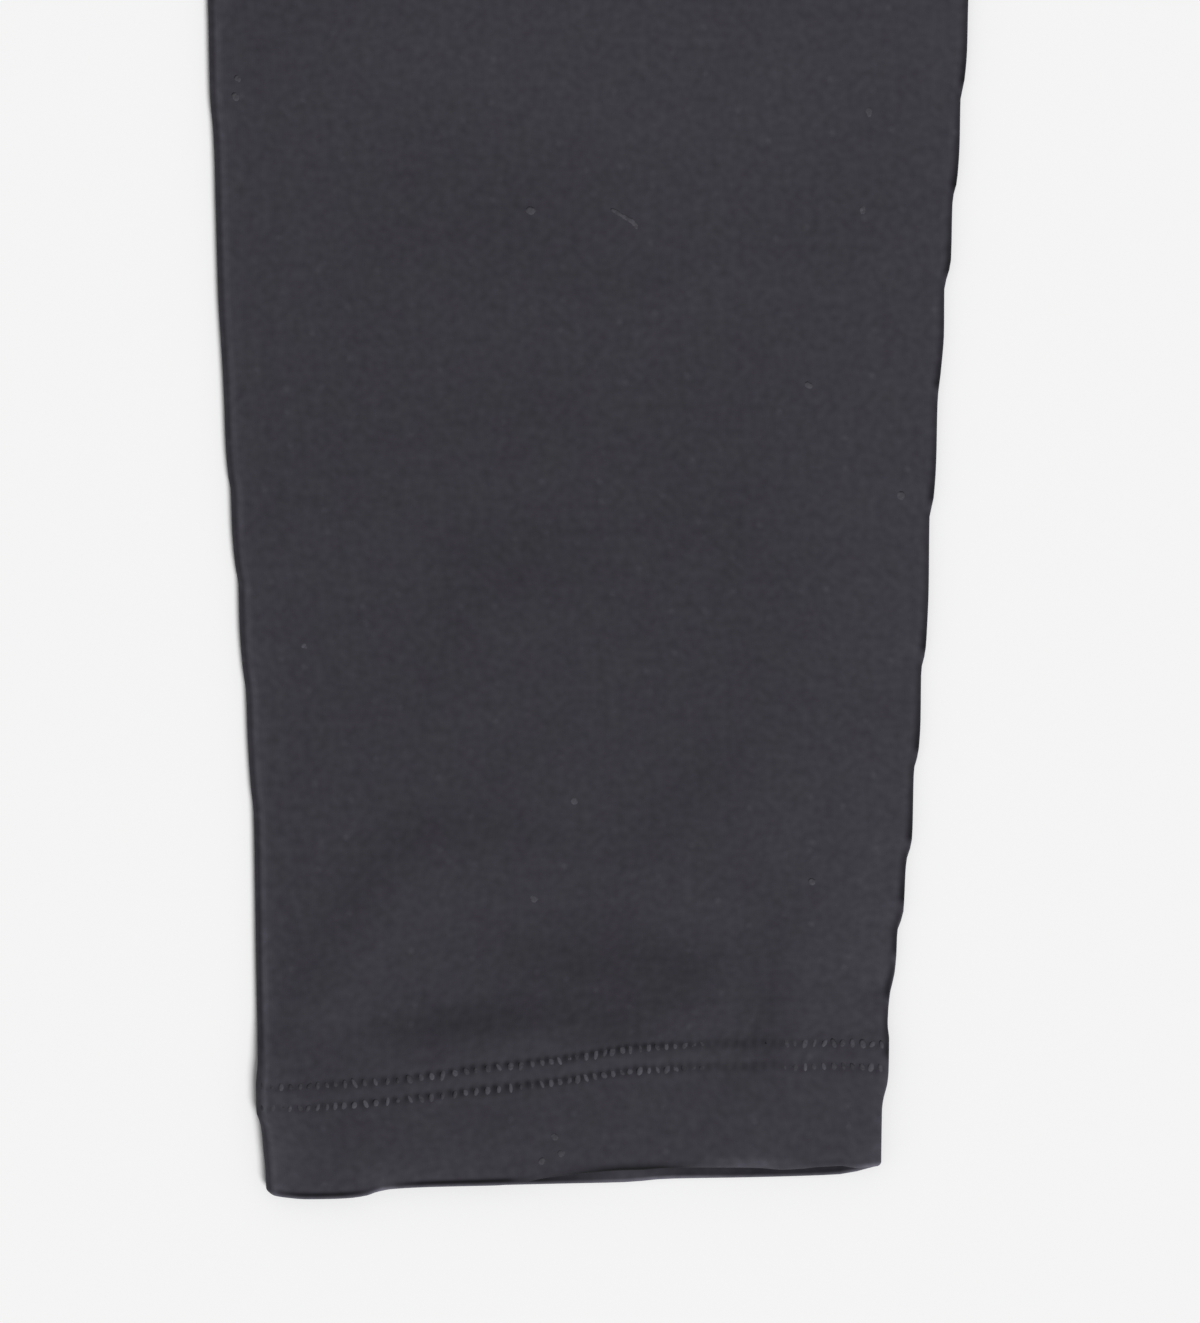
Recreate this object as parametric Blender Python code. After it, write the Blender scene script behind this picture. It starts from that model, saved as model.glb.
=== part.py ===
"""A pair of leggings laid flat on a surface: waist towards +Y, hems towards -Y, back downwards.

Each leg is one cut panel of jersey. It runs from the centre front seam, round the fold at the
outer edge, to the centre back seam, and below the crotch its two edges meet in the inseam.
The hem is the same cloth turned up inside, so the wall is twice as thick there. The waistband is
one elasticated casing. Metres, +Z up. The origin is the middle of the footprint, on the surface.
"""

from collections import namedtuple
import math

import bmesh
import bpy

MM = 0.001

# Driving sizes
LENGTH = 0.990  # hem to the back of the waist
BAND_HEIGHT = 0.040
INSEAM = 0.720  # hem to crotch
FRONT_DIP = 0.012  # the front of the waist lies this much lower than the back
HEM_DEPTH = 0.025
HEM_FADE = 0.150  # the slant of the hem has straightened out at this height
FRONT_SHORT = 0.0009  # the front ply of the hem stops this far above the back ply
CLOTH = 0.0010  # one ply
HEM_WALL = 0.0019  # cloth and its turned-up hem
HEM_STEP = 0.008  # length over which the wall thins above the hem
BAND_WALL = 0.0026
BAND_STACK = 0.0056  # front wall, slit and back wall of the band
BAND_HALF_BOTTOM = 0.1755
BAND_HALF_TOP = 0.1725
HEM_CORNER = 0.00045  # taken off the lower edge of the hem
SEAM_GAP = 0.0003  # between pieces that are sewn together
CROTCH_OPEN = 0.007  # the plies part over this length above the crotch
FOLD_FADE = 0.012  # the soft ridges die out this near to a leg's edge
BAND_ROUND = 0.0011  # rounding of the top of the band

# Heights of the leg's sections, closest at the hem and in the calf, where the folds are small
Stretch = namedtuple("Stretch", "start end sections")
HEM_HEIGHTS = (0.0, HEM_CORNER, 0.008, 0.016, HEM_DEPTH, 0.029, HEM_DEPTH + HEM_STEP)
BELOW_CROTCH = (
    Stretch(0.045, 0.117, 6),
    Stretch(0.117, 0.252, 8),
    Stretch(0.252, 0.690, 16),
    Stretch(0.690, INSEAM, 2),
)
ABOVE_CROTCH = Stretch(0.745, LENGTH - BAND_HEIGHT - SEAM_GAP, 10)
BAND_SECTIONS = 3

# How finely each ply is divided
TOP_SPANS = 13
BOTTOM_SPANS = 6
FOLD_SPANS = 4  # round the outer fold
SEAM_SPANS = 2  # from the inseam up to the top ply, and down to the bottom one
BAND_TOP_SPANS = 16
BAND_BOTTOM_SPANS = 8

CHARCOAL = (0.042, 0.040, 0.048, 1.0)

# Outline of one leg, in millimetres: height above the hem, distance of the outer fold and of the
# inner edge from the centre line, and the thickness of the flattened tube.
Section = namedtuple("Section", "height outer inner stack")
SECTIONS = (
    Section(0, 195.8, 66.4, 4.1),
    Section(10, 197.2, 66.0, 4.1),
    Section(21, 198.4, 65.2, 4.1),
    Section(31, 198.2, 64.4, 3.9),
    Section(45, 198.2, 63.7, 2.5),
    Section(62, 198.4, 61.6, 2.4),
    Section(105, 200.3, 58.1, 2.4),
    Section(147, 203.5, 55.5, 2.4),
    Section(200, 206.6, 51.8, 2.4),
    Section(252, 208.5, 48.2, 2.4),
    Section(330, 211.6, 42.4, 2.4),
    Section(420, 215.8, 35.2, 2.4),
    Section(520, 220.6, 26.0, 2.4),
    Section(620, 226.2, 15.4, 2.5),
    Section(690, 229.4, 5.2, 2.6),
    Section(720, 229.9, 0.15, 2.6),
    Section(760, 228.4, 0.15, 2.6),
    Section(810, 222.6, 0.15, 2.7),
    Section(860, 212.0, 0.15, 3.1),
    Section(910, 196.4, 0.15, 4.1),
    Section(950, 178.5, 0.15, 4.9),
)

# Lower edge of the hem, in millimetres, from the outer fold (0) to the inseam (1)
HemPoint = namedtuple("HemPoint", "across lift")
HEM_EDGE = (
    HemPoint(0.00, 1.7),
    HemPoint(0.07, 0.0),
    HemPoint(0.16, 0.6),
    HemPoint(0.27, 2.3),
    HemPoint(0.55, 3.4),
    HemPoint(0.85, 4.7),
    HemPoint(1.00, 7.0),
)

# Soft ridges of the front ply, in millimetres: both ends as distance from the centre line and
# height above the hem, then how far the ridge spreads and how high it stands.
Fold = namedtuple("Fold", "out_a height_a out_b height_b spread rise")
RIGHT_FOLDS = (
    Fold(190, 33, 161, 62, 8, 1.5),
    Fold(161, 62, 102, 66, 8, 1.4),
    Fold(96, 104, 70, 76, 10, 1.3),
    Fold(78, 20, 80, 66, 8, 0.9),
    Fold(172, 232, 128, 221, 16, 1.0),
    Fold(104, 214, 69, 197, 14, 1.0),
    Fold(104, 160, 86, 117, 14, 1.0),
    Fold(190, 372, 122, 405, 13, 1.8),
    Fold(150, 446, 62, 412, 15, 1.6),
    Fold(52, 598, 150, 540, 15, 1.8),
    Fold(22, 700, 128, 652, 14, 2.6),
    Fold(26, 724, 150, 742, 14, 2.2),
    Fold(22, 748, 96, 812, 12, 1.8),
    Fold(196, 836, 118, 800, 14, 1.6),
    Fold(60, 900, 66, 944, 8, 1.4),
    Fold(118, 890, 112, 944, 8, 1.3),
)
LEFT_FOLDS = (
    Fold(186, 40, 150, 58, 9, 1.4),
    Fold(150, 58, 96, 76, 8, 1.3),
    Fold(90, 118, 72, 84, 10, 1.2),
    Fold(116, 18, 112, 44, 8, 0.9),
    Fold(176, 208, 124, 232, 15, 1.1),
    Fold(110, 176, 78, 140, 14, 1.0),
    Fold(186, 394, 104, 372, 14, 1.7),
    Fold(140, 432, 70, 448, 13, 1.5),
    Fold(46, 574, 138, 552, 15, 1.7),
    Fold(22, 694, 112, 634, 14, 2.5),
    Fold(26, 730, 142, 728, 14, 2.2),
    Fold(24, 756, 112, 806, 12, 1.9),
    Fold(202, 812, 130, 824, 13, 1.5),
    Fold(48, 896, 52, 944, 8, 1.3),
    Fold(102, 884, 96, 944, 8, 1.4),
    Fold(146, 902, 138, 944, 8, 1.2),
)


def smooth_at(rows, key, value, at):
    """Value at a place between the rows of a table, on a curve that runs smoothly through them."""
    keys = [getattr(row, key) for row in rows]
    values = [getattr(row, value) for row in rows]
    at = min(max(at, keys[0]), keys[-1])
    i = 0
    while i < len(keys) - 2 and at > keys[i + 1]:
        i += 1

    def slope(k):
        """Slope at row k, none at a turning point so that the curve never overshoots."""
        if k == 0 or k == len(keys) - 1:
            return 0.0
        before = (values[k] - values[k - 1]) / (keys[k] - keys[k - 1])
        after = (values[k + 1] - values[k]) / (keys[k + 1] - keys[k])
        if before * after <= 0:
            return 0.0
        return 2 * before * after / (before + after)

    span = keys[i + 1] - keys[i]
    t = (at - keys[i]) / span
    start, end = slope(i) * span, slope(i + 1) * span
    rise = values[i + 1] - values[i]
    return values[i] + t * (start + t * (3 * rise - 2 * start - end + t * (start + end - 2 * rise)))


def ease(t):
    """0 to 1 with soft ends."""
    t = min(max(t, 0.0), 1.0)
    return t * t * (3 - 2 * t)


def across_share(i, spans):
    """Share of the way across a ply at its i-th point, closer together near its edges."""
    even = i / spans
    return 0.5 * even + 0.25 * (1 - math.cos(math.pi * even))


def section_size(height, column):
    return smooth_at(SECTIONS, "height", column, height / MM) * MM


def wall_at(height):
    """Thickness of one wall: two plies in the hem, one above it."""
    return HEM_WALL + (CLOTH - HEM_WALL) * ease((height - HEM_DEPTH) / HEM_STEP)


def ridge_height(folds, out, height):
    """How far the folds lift the front ply at a point, fading out near its edges."""
    lift = 0.0
    for fold in folds:
        ax, ay = fold.out_a * MM, fold.height_a * MM
        dx, dy = fold.out_b * MM - ax, fold.height_b * MM - ay
        along = ((out - ax) * dx + (height - ay) * dy) / (dx * dx + dy * dy)
        along = min(max(along, 0.0), 1.0)
        away = math.hypot(out - ax - along * dx, height - ay - along * dy)
        lift += fold.rise * MM * math.exp(-((away / (fold.spread * MM)) ** 2))
    outer = section_size(height, "outer")
    inner = section_size(height, "inner")
    from_outer = ease((outer - out) / FOLD_FADE)
    from_inner = 1.0 if height > INSEAM else ease((out - inner) / FOLD_FADE)
    return lift * from_outer * from_inner


def laid_y(out, height, frontness):
    """World Y of a point of the leg: slanted at the hem, dipped at the front of the waist."""
    outer = section_size(height, "outer")
    inner = section_size(height, "inner")
    across = (outer - out) / (outer - inner)
    low = max(0.0, 1 - height / HEM_FADE) ** 2
    slant = smooth_at(HEM_EDGE, "across", "lift", across) * MM * low
    short = FRONT_SHORT * frontness * low
    return height + slant + short - front_dip(out, outer, height) * frontness - LENGTH / 2


def front_dip(out, half_width, height):
    """How far the front sinks below the back, most at the centre of the waist."""
    rise = ease((height - INSEAM) / (LENGTH - BAND_HEIGHT - INSEAM))
    middle = max(0.0, 1 - (out / half_width) ** 2)
    return FRONT_DIP * rise * middle


def leg_section(folds, height, inset, is_open):
    """Points (out, y, z) of one section, from the inseam over the front to the fold and back under.

    An open section starts at the centre front seam and ends at the centre back seam.
    """
    stack = section_size(height, "stack")
    middle = stack / 2
    radius = middle - inset
    outer_centre = section_size(height, "outer") - middle
    inner_edge = section_size(height, "inner")
    inner_centre = inner_edge + middle

    def on_top(out):
        return (out, stack - inset + ridge_height(folds, out, height), 1.0)

    points = []
    if is_open:
        spans = TOP_SPANS + SEAM_SPANS
        for i in range(spans):
            points.append(on_top(inner_edge + (outer_centre - inner_edge) * across_share(i, spans)))
    else:
        step = math.pi / (2 * SEAM_SPANS + 1)
        for i in range(SEAM_SPANS):
            angle = step * (i + 0.5)
            points.append(edge_point(inner_centre, -radius, middle, radius, angle))
        for i in range(TOP_SPANS):
            share = across_share(i, TOP_SPANS)
            points.append(on_top(inner_centre + (outer_centre - inner_centre) * share))
    for i in range(FOLD_SPANS + 1):
        angle = math.pi / 2 - math.pi * i / FOLD_SPANS
        points.append(edge_point(outer_centre, radius, middle, radius, angle))
    if is_open:
        spans = BOTTOM_SPANS + SEAM_SPANS
        for i in range(1, spans + 1):
            out = outer_centre + (inner_edge - outer_centre) * across_share(i, spans)
            points.append((out, inset, 0.0))
    else:
        for i in range(1, BOTTOM_SPANS + 1):
            out = outer_centre + (inner_centre - outer_centre) * across_share(i, BOTTOM_SPANS)
            points.append((out, inset, 0.0))
        for i in range(SEAM_SPANS):
            angle = -step * (SEAM_SPANS - i - 0.5)
            points.append(edge_point(inner_centre, -radius, middle, radius, angle))
    return [(out, laid_y(out, height, frontness), z) for out, z, frontness in points]


def edge_point(centre, reach, middle, radius, angle):
    """Point of a rounded edge as (out, z, frontness)."""
    frontness = 0.5 + 0.5 * math.sin(angle)
    return (centre + reach * math.cos(angle), middle + radius * math.sin(angle), frontness)


def even_steps(stretch):
    """Heights that divide a stretch evenly, without its end."""
    step = (stretch.end - stretch.start) / stretch.sections
    return [stretch.start + step * i for i in range(stretch.sections)]


def leg_heights():
    heights = list(HEM_HEIGHTS)
    for stretch in BELOW_CROTCH:
        heights += even_steps(stretch)
    heights += [INSEAM, INSEAM + CROTCH_OPEN]
    heights += even_steps(ABOVE_CROTCH)
    heights.append(ABOVE_CROTCH.end)
    return heights


def add_ring(mesh, points, side):
    return [mesh.verts.new((side * x, y, z)) for x, y, z in points]


def skin(mesh, lower, upper, wrap):
    """Faces between two sections, and across the inseam where it is closed."""
    count = len(lower)
    for j in range(count if wrap else count - 1):
        k = (j + 1) % count
        mesh.faces.new((lower[j], lower[k], upper[k], upper[j]))


def finish_solid(mesh, name, collection):
    """Turn a closed bmesh into a named, coloured object that faces outwards."""
    bmesh.ops.recalc_face_normals(mesh, faces=mesh.faces)
    data = bpy.data.meshes.new(name)
    mesh.to_mesh(data)
    mesh.free()
    data.shade_smooth()
    data.set_sharp_from_angle(angle=math.radians(50))
    data.materials.append(jersey(name))
    piece = bpy.data.objects.new(name, data)
    collection.objects.link(piece)
    return piece


def jersey(name):
    """Matt charcoal knit."""
    material = bpy.data.materials.new(name + "_jersey")
    material.use_nodes = True
    shader = material.node_tree.nodes["Principled BSDF"]
    shader.inputs["Base Color"].default_value = CHARCOAL
    shader.inputs["Roughness"].default_value = 0.92
    shader.inputs["Metallic"].default_value = 0.0
    return material


def make_leg(name, side, folds, collection):
    """One leg panel as a closed wall: a tube below the crotch, open at both centre seams above."""
    mesh = bmesh.new()
    heights = leg_heights()
    outer, inner = [], []
    for i, height in enumerate(heights):
        is_open = height > INSEAM
        wall = wall_at(height)
        corner = HEM_CORNER if i == 0 else 0.0
        outer.append(add_ring(mesh, leg_section(folds, height, corner, is_open), side))
        inner.append(add_ring(mesh, leg_section(folds, height, wall - corner, is_open), side))
    crotch = heights.index(INSEAM)
    for i in range(len(heights) - 1):
        closed = i < crotch
        skin(mesh, outer[i], outer[i + 1], closed)
        skin(mesh, inner[i], inner[i + 1], closed)
        if not closed:
            for j in (0, -1):
                mesh.faces.new((outer[i][j], outer[i + 1][j], inner[i + 1][j], inner[i][j]))
    skin(mesh, outer[0], inner[0], True)
    skin(mesh, outer[-1], inner[-1], False)
    mesh.faces.new((outer[crotch][-1], outer[crotch][0], inner[crotch][0], inner[crotch][-1]))
    return finish_solid(mesh, name, collection)


def band_section(height, inset):
    """Points (x, y, z) of one section of the waistband, clockwise from the left fold."""
    share = height / BAND_HEIGHT
    half_width = BAND_HALF_BOTTOM + (BAND_HALF_TOP - BAND_HALF_BOTTOM) * share
    middle = BAND_STACK / 2
    radius = middle - inset
    centre = half_width - middle
    base = LENGTH / 2 - BAND_HEIGHT + height
    above_hem = LENGTH - BAND_HEIGHT

    def lay(x, z, frontness):
        return (x, base - frontness * front_dip(abs(x), half_width, above_hem), z)

    points = []
    for i in range(BAND_TOP_SPANS):
        x = -centre + 2 * centre * i / BAND_TOP_SPANS
        points.append(lay(x, BAND_STACK - inset, 1.0))
    for i in range(FOLD_SPANS):
        out, z, frontness = edge_point(centre, radius, middle, radius, math.pi * (0.5 - i / FOLD_SPANS))
        points.append(lay(out, z, frontness))
    for i in range(BAND_BOTTOM_SPANS):
        x = centre - 2 * centre * i / BAND_BOTTOM_SPANS
        points.append(lay(x, inset, 0.0))
    for i in range(FOLD_SPANS):
        out, z, frontness = edge_point(centre, radius, middle, radius, math.pi * (i / FOLD_SPANS - 0.5))
        points.append(lay(-out, z, frontness))
    return points


def rounded_over(angle):
    """Height and inset of the rounded top of the band's wall at an angle of its quarter circle."""
    height = BAND_HEIGHT - BAND_ROUND * (1 - math.sin(angle))
    return (height, BAND_ROUND * (1 - math.cos(angle)))


def make_waistband(name, collection):
    """The casing as a flattened ring, rounded over at the top."""
    mesh = bmesh.new()
    straight = Stretch(0.0, BAND_HEIGHT - BAND_ROUND, BAND_SECTIONS)
    rows = [(height, 0.0) for height in even_steps(straight)]
    for angle in (0, 45, 90):
        rows.append(rounded_over(math.radians(angle)))
    outer = [add_ring(mesh, band_section(height, inset), 1) for height, inset in rows]
    inner = [add_ring(mesh, band_section(height, BAND_WALL - inset), 1) for height, inset in rows]
    for i in range(len(rows) - 1):
        skin(mesh, outer[i], outer[i + 1], True)
        skin(mesh, inner[i], inner[i + 1], True)
    skin(mesh, outer[0], inner[0], True)
    skin(mesh, outer[-1], inner[-1], True)
    return finish_solid(mesh, name, collection)


def main():
    for old in list(bpy.data.objects):
        bpy.data.objects.remove(old)
    leggings = bpy.data.collections.new("leggings")
    bpy.context.scene.collection.children.link(leggings)
    make_leg("right_leg", -1, RIGHT_FOLDS, leggings)
    make_leg("left_leg", 1, LEFT_FOLDS, leggings)
    make_waistband("waistband", leggings)


main()
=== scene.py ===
import bisect
import math
import random

import bmesh
import bpy
from mathutils import Matrix, Vector, noise


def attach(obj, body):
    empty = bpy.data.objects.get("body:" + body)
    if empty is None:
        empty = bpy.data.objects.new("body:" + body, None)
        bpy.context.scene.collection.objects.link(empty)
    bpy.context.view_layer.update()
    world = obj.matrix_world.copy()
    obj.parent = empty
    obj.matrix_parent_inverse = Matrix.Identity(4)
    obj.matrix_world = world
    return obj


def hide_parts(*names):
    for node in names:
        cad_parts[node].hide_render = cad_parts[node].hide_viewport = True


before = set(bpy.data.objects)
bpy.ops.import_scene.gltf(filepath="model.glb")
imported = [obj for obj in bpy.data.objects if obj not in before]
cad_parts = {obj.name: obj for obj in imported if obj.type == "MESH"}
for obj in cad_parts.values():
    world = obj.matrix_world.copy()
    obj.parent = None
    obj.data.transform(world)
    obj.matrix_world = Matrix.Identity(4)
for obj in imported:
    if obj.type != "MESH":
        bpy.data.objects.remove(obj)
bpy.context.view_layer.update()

mm = 0.001
hemY = -0.495  # the lowest point of the hems, with the waist at the same distance on the other side
print("frame loaded")


# Small tools that every piece uses.

def ease(t):
    # from 0 to 1, slow at both ends
    t = min(max(t, 0.0), 1.0)
    return t * t * (3 - 2 * t)


def ramp(value, start, reach):
    # from nothing at the start to one at the end of its reach
    return ease((value - start) / reach)


def bump(value, middle, width):
    # 1 in the middle, and soon nothing past the width
    return math.exp(-(((value - middle) / width) ** 2))


def mix(a, b, t):
    return a + (b - a) * t


def curveThrough(points):
    # a smooth curve through (key, value) points, which never overshoots them
    keys = [p[0] for p in points]
    values = [p[1] for p in points]
    slopes = [0.0] * len(points)
    for k in range(1, len(points) - 1):
        before = (values[k] - values[k - 1]) / (keys[k] - keys[k - 1])
        after = (values[k + 1] - values[k]) / (keys[k + 1] - keys[k])
        if before * after > 0:
            slopes[k] = 2 * before * after / (before + after)

    def at(key):
        key = min(max(key, keys[0]), keys[-1])
        i = min(max(bisect.bisect_right(keys, key) - 1, 0), len(keys) - 2)
        span = keys[i + 1] - keys[i]
        t = (key - keys[i]) / span
        start, end = slopes[i] * span, slopes[i + 1] * span
        rise = values[i + 1] - values[i]
        return values[i] + t * (start + t * (3 * rise - 2 * start - end + t * (start + end - 2 * rise)))

    return at


def spaced(start, end, step):
    count = max(1, round((end - start) / step))
    return [start + (end - start) * i / count for i in range(count)]


def addObject(name, data):
    added = bpy.data.objects.new(name, data)
    bpy.context.scene.collection.objects.link(added)
    return added


def addMesh(bm, name, material):
    mesh = bpy.data.meshes.new(name)
    bm.to_mesh(mesh)
    bm.free()
    mesh.materials.append(material)
    return addObject(name, mesh)


def finishPiece(bm, name, material):
    piece = addMesh(bm, name, material)
    piece.data.shade_smooth()
    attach(piece, "root")
    return piece


def columnsOf(parts):
    # (part, share) of each column over the spans of each part
    return [(part, i / spans) for part, spans in parts for i in range(spans)]


def flatPanel(columns, rows):
    # a flat grid whose places count the columns and rows from its corner
    bm = bmesh.new()
    bmesh.ops.create_grid(bm, x_segments=len(columns) - 1, y_segments=len(rows) - 1, size=0.5)
    for v in bm.verts:
        v.co.x = (v.co.x + 0.5) * (len(columns) - 1)
        v.co.y = (v.co.y + 0.5) * (len(rows) - 1)
    return bm


def sewTube(bm, cut, flatPlace):
    # each vertex keeps its place on the flat panel, the panel's two edges meet, and its outside faces out
    for f in bm.faces:
        for loop in f.loops:
            loop[cut].uv = flatPlace[loop.vert.index]
    ends = [v for v in bm.verts if v.is_boundary]
    bmesh.ops.remove_doubles(bm, verts=ends, dist=0.02 * mm)
    bmesh.ops.recalc_face_normals(bm, faces=bm.faces)
    top = max(bm.faces, key=lambda f: f.calc_center_median().z)
    if top.normal.z < 0:
        bmesh.ops.reverse_faces(bm, faces=bm.faces)


def giveThickness(piece):
    solidify = piece.modifiers.new("cloth thickness", "SOLIDIFY")
    solidify.thickness = garment["cloth"]
    solidify.offset = -1.0
    solidify.use_even_offset = False


# Materials.

def newMaterial(name):
    material = bpy.data.materials.new(name)
    material.use_nodes = True
    return material, material.node_tree, material.node_tree.nodes["Principled BSDF"]


def feed(tree, sockets, values):
    # a number or a colour is set on its socket, and another node's output is linked to it
    for name, value in values.items():
        if isinstance(value, bpy.types.NodeSocket):
            tree.links.new(value, sockets[name])
        else:
            sockets[name].default_value = value


def addNode(tree, kind, values, **settings):
    node = tree.nodes.new("ShaderNode" + kind)
    for name, value in settings.items():
        setattr(node, name, value)
    feed(tree, node.inputs, values)
    return node.outputs


def noiseOn(tree, vector, scale, detail, roughness=0.5):
    values = {"Vector": vector, "Scale": scale, "Detail": detail, "Roughness": roughness}
    return addNode(tree, "TexNoise", values)["Fac"]


def calculate(tree, operation, first, second, clamp=False):
    return addNode(tree, "Math", {0: first, 1: second}, operation=operation, use_clamp=clamp)[0]


def centred(tree, source, amount):
    # a noise that goes as far below zero as above it
    return calculate(tree, "MULTIPLY", calculate(tree, "SUBTRACT", source, 0.5), amount)


jerseyLook = {
    "colour": (0.0384, 0.0369, 0.0456),
    "tint": (0.0009, -0.0006, 0.0005),  # how far the colour wanders, how strongly, and over what size
    "tintGain": 4.0,
    "tintSize": 9 * mm,
    "mottle": 0.25,
    "mottleSize": 3.1 * mm,
    "fleck": 0.41,
    "fleckSize": 1.75 * mm,
    "grain": 0.03,
    "grainSize": 0.46 * mm,
    "fibres": (1.0, 0.38, 1.0),  # the same grain drawn out along the wales
    "fibreScale": 0.9,
    "walePitch": 0.52 * mm,
    "waleDepth": 0.014,
    "waleWander": 1.1 * mm,
    "waleWanderSize": 6 * mm,
    "waleRelief": 0.5,  # beside the grain's 1
    "bumpHeight": 0.014 * mm,
    "pill": 0.34,  # small pale knots, one at the most in each cell
    "pillCell": 6.5 * mm,
    "pillSize": 0.95 * mm,
    "pillRarity": 2.5,
    "roughness": 0.92,
    "specular": 0.12,
    "sheen": 0.06,
    "sheenRoughness": 0.5,
    "sheenTint": (0.75, 0.76, 0.86, 1.0),
}


def makeJersey(name, look):
    material, tree, shader = newMaterial(name)
    cut = addNode(tree, "UVMap", {}, uv_map="cut")["UV"]
    grain = noiseOn(tree, cut, 1 / look["grainSize"], 3.0, 0.6)
    upright = addNode(tree, "Mapping", {"Vector": cut, "Scale": look["fibres"]})["Vector"]
    fibres = noiseOn(tree, upright, look["fibreScale"] / look["grainSize"], 2.0, 0.6)
    mottle = noiseOn(tree, cut, 1 / look["mottleSize"], 1.0, 0.4)
    flecks = noiseOn(tree, cut, 1 / look["fleckSize"], 1.0, 0.2)
    # the wales run up the leg and wander a little
    wander = noiseOn(tree, cut, 1 / look["waleWanderSize"], 2.0)
    wander = calculate(tree, "MULTIPLY", wander, look["waleWander"])
    aside = addNode(tree, "CombineXYZ", {"X": wander})["Vector"]
    shifted = addNode(tree, "VectorMath", {0: cut, 1: aside}, operation="ADD")["Vector"]
    waleScale = math.tau / 20 / look["walePitch"]  # a band comes every tau / 20 of the scaled distance
    wales = addNode(tree, "TexWave", {"Vector": shifted, "Scale": waleScale},
                    wave_type="BANDS", bands_direction="X")["Fac"]

    # brightness of the colour, around 1
    terms = [centred(tree, source, amount) for source, amount in (
        (mottle, look["mottle"]),
        (flecks, look["fleck"]),
        (grain, look["grain"] * 0.8),
        (fibres, look["grain"]),
        (wales, look["waleDepth"]),
    )]
    bright = terms[0]
    for term in terms[1:] + [1.0]:
        bright = calculate(tree, "ADD", bright, term)
    # a few pale knots, where the jersey pills
    ragged = addNode(tree, "CombineXYZ", {
        "X": calculate(tree, "MULTIPLY", grain, look["pillSize"]),
        "Y": calculate(tree, "MULTIPLY", fibres, look["pillSize"]),
    })["Vector"]
    roughCut = addNode(tree, "VectorMath", {0: cut, 1: ragged}, operation="ADD")["Vector"]
    cells = addNode(tree, "TexVoronoi", {"Vector": roughCut, "Scale": 1 / look["pillCell"]},
                    voronoi_dimensions="2D")
    chance = addNode(tree, "SeparateColor", {"Color": cells["Color"]})["Red"]
    near = calculate(tree, "DIVIDE", cells["Distance"], look["pillSize"] / look["pillCell"])
    near = calculate(tree, "SUBTRACT", 1.0, near, clamp=True)
    near = calculate(tree, "MULTIPLY", near, calculate(tree, "POWER", chance, look["pillRarity"]))
    bright = calculate(tree, "ADD", bright, calculate(tree, "MULTIPLY", near, look["pill"]))
    # painted shade darkens the creases, seams and lower edges and painted light makes the edges paler, as
    # the piece's own attribute says
    paintedShadeAndTone = addNode(tree, "Attribute", {}, attribute_name="paintedShadeAndTone")["Fac"]
    bright = calculate(tree, "MULTIPLY", bright, calculate(tree, "SUBTRACT", 1.0, paintedShadeAndTone))
    wandering = centred(tree, noiseOn(tree, cut, 1 / look["tintSize"], 2.0), look["tintGain"])
    tinted = addNode(tree, "VectorMath", {0: look["tint"], 1: wandering, 2: look["colour"]},
                     operation="MULTIPLY_ADD")["Vector"]
    colour = addNode(tree, "VectorMath", {0: tinted, "Scale": bright}, operation="SCALE")["Vector"]

    relief = calculate(tree, "MULTIPLY", wales, look["waleRelief"])
    for source in (grain, fibres):
        relief = calculate(tree, "ADD", relief, source)
    raised = addNode(tree, "Bump", {"Strength": 1.0, "Distance": look["bumpHeight"], "Height": relief})
    feed(tree, shader.inputs, {
        "Base Color": colour,
        "Normal": raised["Normal"],
        "Roughness": look["roughness"],
        "Specular IOR Level": look["specular"],
        "Sheen Weight": look["sheen"],
        "Sheen Roughness": look["sheenRoughness"],
        "Sheen Tint": look["sheenTint"],
    })
    return material


threadLook = {
    "colour": (0.060, 0.0585, 0.070), "fuzz": 0.8, "fuzzSize": 0.4 * mm, "roughness": 0.85, "specular": 0.15,
}
lintLook = {
    "colour": (0.059, 0.057, 0.067), "fuzz": 0.6, "fuzzSize": 0.6 * mm, "roughness": 0.9, "specular": 0.15,
}


def makeThread(name, look):
    material, tree, shader = newMaterial(name)
    place = addNode(tree, "TexCoord", {})["Object"]
    fuzz = centred(tree, noiseOn(tree, place, 1 / look["fuzzSize"], 2.0), look["fuzz"])
    # painted shade on stitches sunk in their groove, plus a random difference in colour, as the piece's own
    # attribute says
    paintedShadeAndTone = addNode(tree, "Attribute", {}, attribute_name="paintedShadeAndTone")["Fac"]
    bright = calculate(tree, "ADD", calculate(tree, "SUBTRACT", 1.0, paintedShadeAndTone), fuzz)
    colour = addNode(tree, "VectorMath", {0: look["colour"], "Scale": bright}, operation="SCALE")["Vector"]
    feed(tree, shader.inputs, {
        "Base Color": colour,
        "Roughness": look["roughness"],
        "Specular IOR Level": look["specular"],
    })
    return material


jersey = makeJersey("jersey", jerseyLook)
bandJersey = makeJersey("waistband_jersey", jerseyLook)
thread = makeThread("thread", threadLook)
lint = makeThread("lint", lintLook)
print("materials made")


# The shape that the legs lie in, in millimetres. A place on a leg is given by its distance out from
# the centre line and its height above the hem.

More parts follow.
